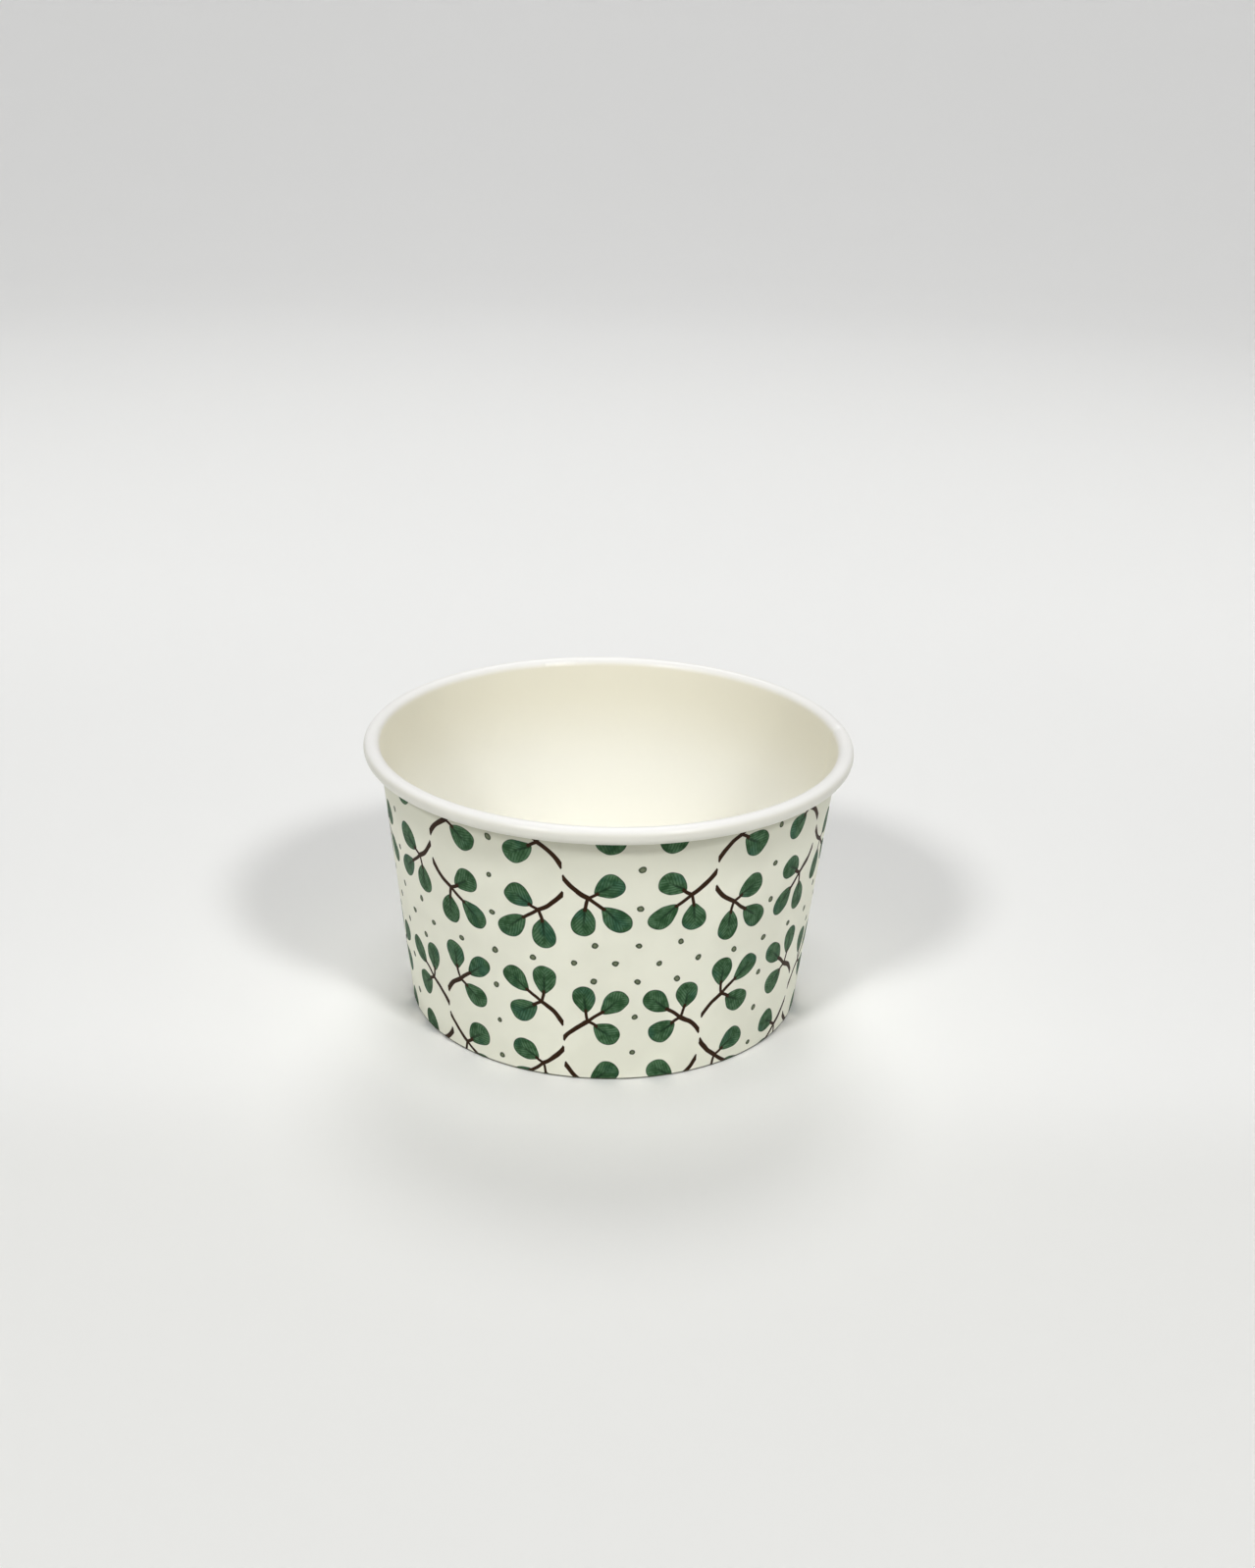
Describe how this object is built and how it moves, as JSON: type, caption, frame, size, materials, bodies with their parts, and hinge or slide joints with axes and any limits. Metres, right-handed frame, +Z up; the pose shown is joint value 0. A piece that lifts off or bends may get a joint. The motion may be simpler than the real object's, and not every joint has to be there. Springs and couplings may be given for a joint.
{
  "type": "paper snack bowl",
  "caption": "Round tapered paperboard bowl with an outward-rolled rim, a lapped side seam, a hemmed foot and a base raised above the table.",
  "frame": {"origin": "middle of the circle that the bowl rests on, at table height", "axes": "+Z up out of the mouth, -Y towards the front of the print, with the side seam close to +X"},
  "size_m": [0.115, 0.115, 0.066],
  "materials": {
    "printed_board": "satin",
    "plain_board": "satin"
  },
  "bodies": {
    "root": {"side_wall": "printed_board", "base_disc": "plain_board"}
  },
  "joints": []
}
